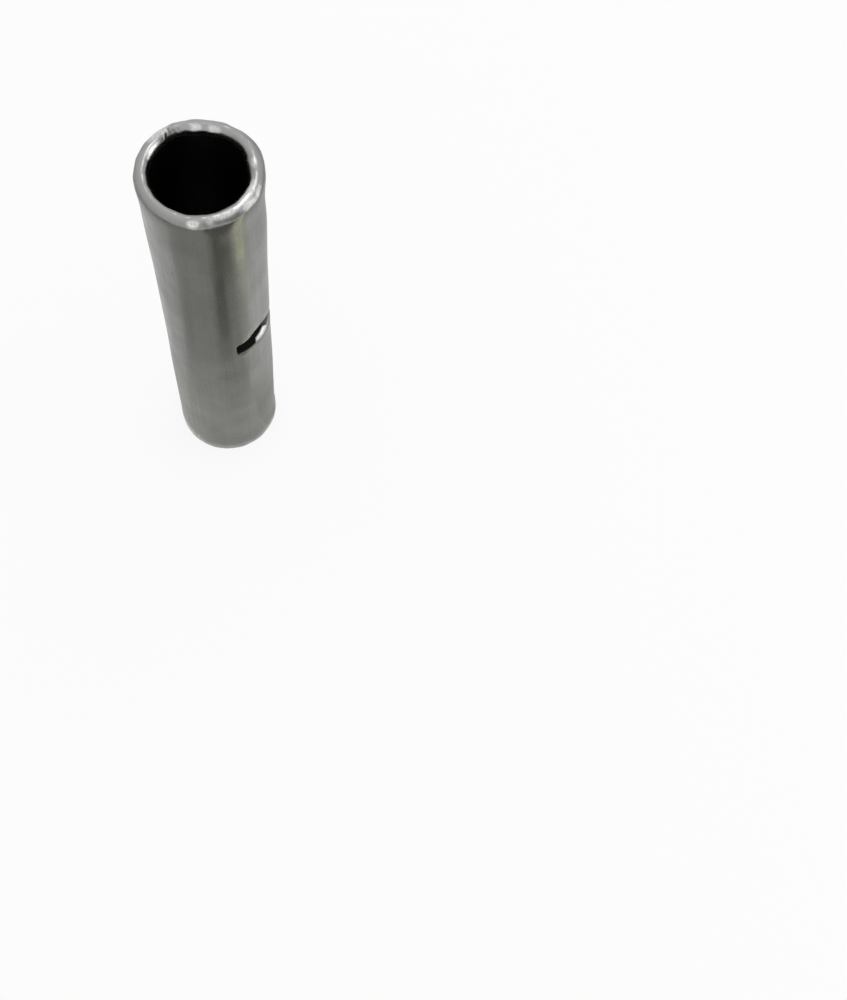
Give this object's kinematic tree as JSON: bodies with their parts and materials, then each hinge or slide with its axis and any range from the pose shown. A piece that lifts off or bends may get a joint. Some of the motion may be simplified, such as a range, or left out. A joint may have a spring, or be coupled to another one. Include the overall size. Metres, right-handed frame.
{
  "type": "copper wire splice",
  "caption": "Bare tin-plated copper butt splice: a short tube open at both ends, with a wire stop pressed in from a cross slot at mid-length.",
  "frame": {"origin": "centre of the end that the tube stands on", "axes": "+Z along the tube's axis to its other end, +X out through the middle of the slot of the wire stop"},
  "size_m": [0.0054, 0.0054, 0.025],
  "materials": {
    "tin_plate": "satin tin plate over copper, fine lengthwise drawing lines, dulled and slightly mottled"
  },
  "bodies": {
    "root": {"splice_sleeve": "tin_plate"}
  },
  "joints": []
}
